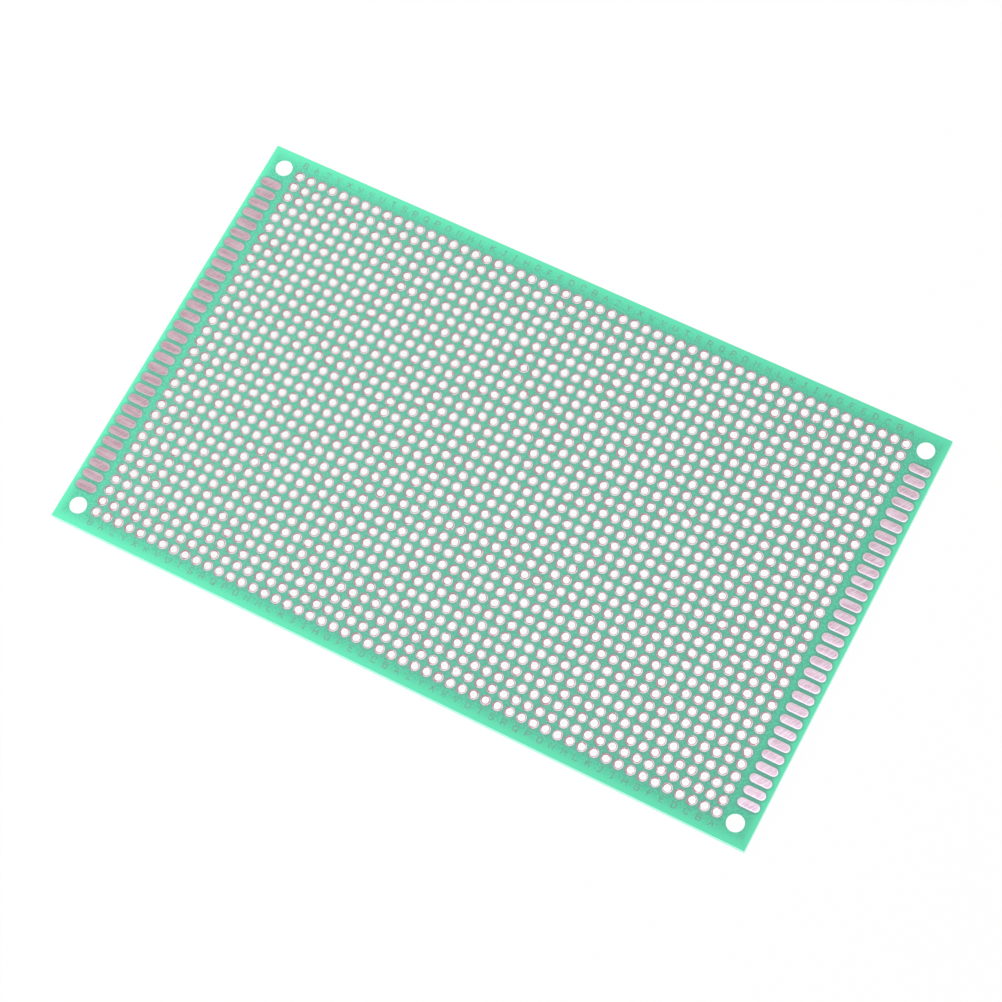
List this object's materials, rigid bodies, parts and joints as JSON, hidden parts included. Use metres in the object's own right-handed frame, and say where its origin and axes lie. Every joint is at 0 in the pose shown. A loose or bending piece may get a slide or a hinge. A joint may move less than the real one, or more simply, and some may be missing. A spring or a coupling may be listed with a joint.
{
  "type": "prototype circuit board",
  "caption": "Flat rectangular prototype circuit board with a full grid of plated lead holes, tinned pads along both short edges and a mounting hole in each corner.",
  "frame": {"origin": "under the middle of the board, on the plane that the underside pads rest on", "axes": "+X along the long side, +Y along the short side, +Z out of the top face"},
  "size_m": [0.15, 0.09, 0.0016],
  "materials": {
    "solder_mask": "green solder mask, half gloss, over glass fibre laminate",
    "tinned_copper": "tinned copper, satin"
  },
  "bodies": {
    "root": {"board": "solder_mask", "left_edge_pads_top": "tinned_copper", "right_edge_pads_top": "tinned_copper", "left_edge_pads_bottom": "tinned_copper", "right_edge_pads_bottom": "tinned_copper"}
  },
  "joints": []
}
